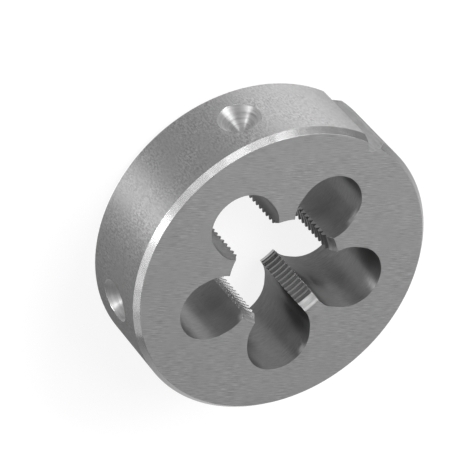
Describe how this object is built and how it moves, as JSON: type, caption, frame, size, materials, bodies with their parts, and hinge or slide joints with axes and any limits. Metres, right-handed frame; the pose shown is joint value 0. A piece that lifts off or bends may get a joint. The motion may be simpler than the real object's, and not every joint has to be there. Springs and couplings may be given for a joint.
{
  "type": "threading die",
  "caption": "Round threading die: a thick steel disc with a threaded bore, open clearance holes and clamping seats round its rim.",
  "frame": {"origin": "on the thread axis, at the back face that the die rests on", "axes": "+Z along the thread axis, out of the front face; +X towards the V groove in the rim; right-handed"},
  "size_m": [0.0449, 0.045, 0.014],
  "materials": {
    "tool_steel": "hardened tool steel with ground faces and rim, drilled clearance holes and a cut thread"
  },
  "bodies": {
    "root": {"threading_die": "tool_steel"}
  },
  "joints": []
}
